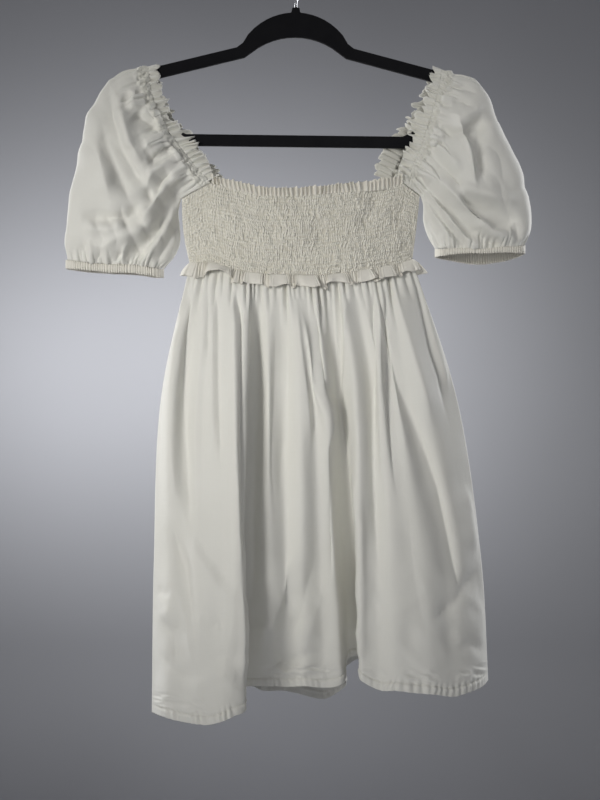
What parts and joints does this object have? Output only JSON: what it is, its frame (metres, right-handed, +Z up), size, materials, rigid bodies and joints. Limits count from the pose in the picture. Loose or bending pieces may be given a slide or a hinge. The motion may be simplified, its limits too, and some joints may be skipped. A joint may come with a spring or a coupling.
{
  "type": "peasant dress on a hanger",
  "caption": "Short white cotton peasant dress with a shirred bodice, puff sleeves and a gathered babydoll skirt, hung on a slim dark hanger.",
  "frame": {"origin": "inside top of the hanger's hook, where a rail or peg carries it", "axes": "+Z up and along the hanging dress, +X to the right as the front is seen (the wearer's left), the front faces -Y"},
  "size_m": [0.5713, 0.1532, 0.9345],
  "materials": {
    "cotton": "matt white cotton poplin, slightly warm, lightly creased",
    "shirred_cotton": "matt cream-white cotton gathered on rows of elastic",
    "coated_plastic": "black with a short velvet flock",
    "hook_wire": "polished plated wire"
  },
  "bodies": {
    "root": {"bodice_front": "shirred_cotton", "bodice_back": "shirred_cotton", "neck_frill_front": "cotton", "neck_frill_back": "cotton", "waist_frill_front": "cotton", "waist_frill_back": "cotton", "sleeve_left": "cotton", "sleeve_right": "cotton", "sleeve_frill_left": "cotton", "sleeve_frill_right": "cotton", "cuff_left": "cotton", "cuff_right": "cotton", "skirt_front": "cotton", "skirt_back": "cotton", "hanger_frame": "coated_plastic", "hanger_hook": "hook_wire"}
  },
  "joints": []
}
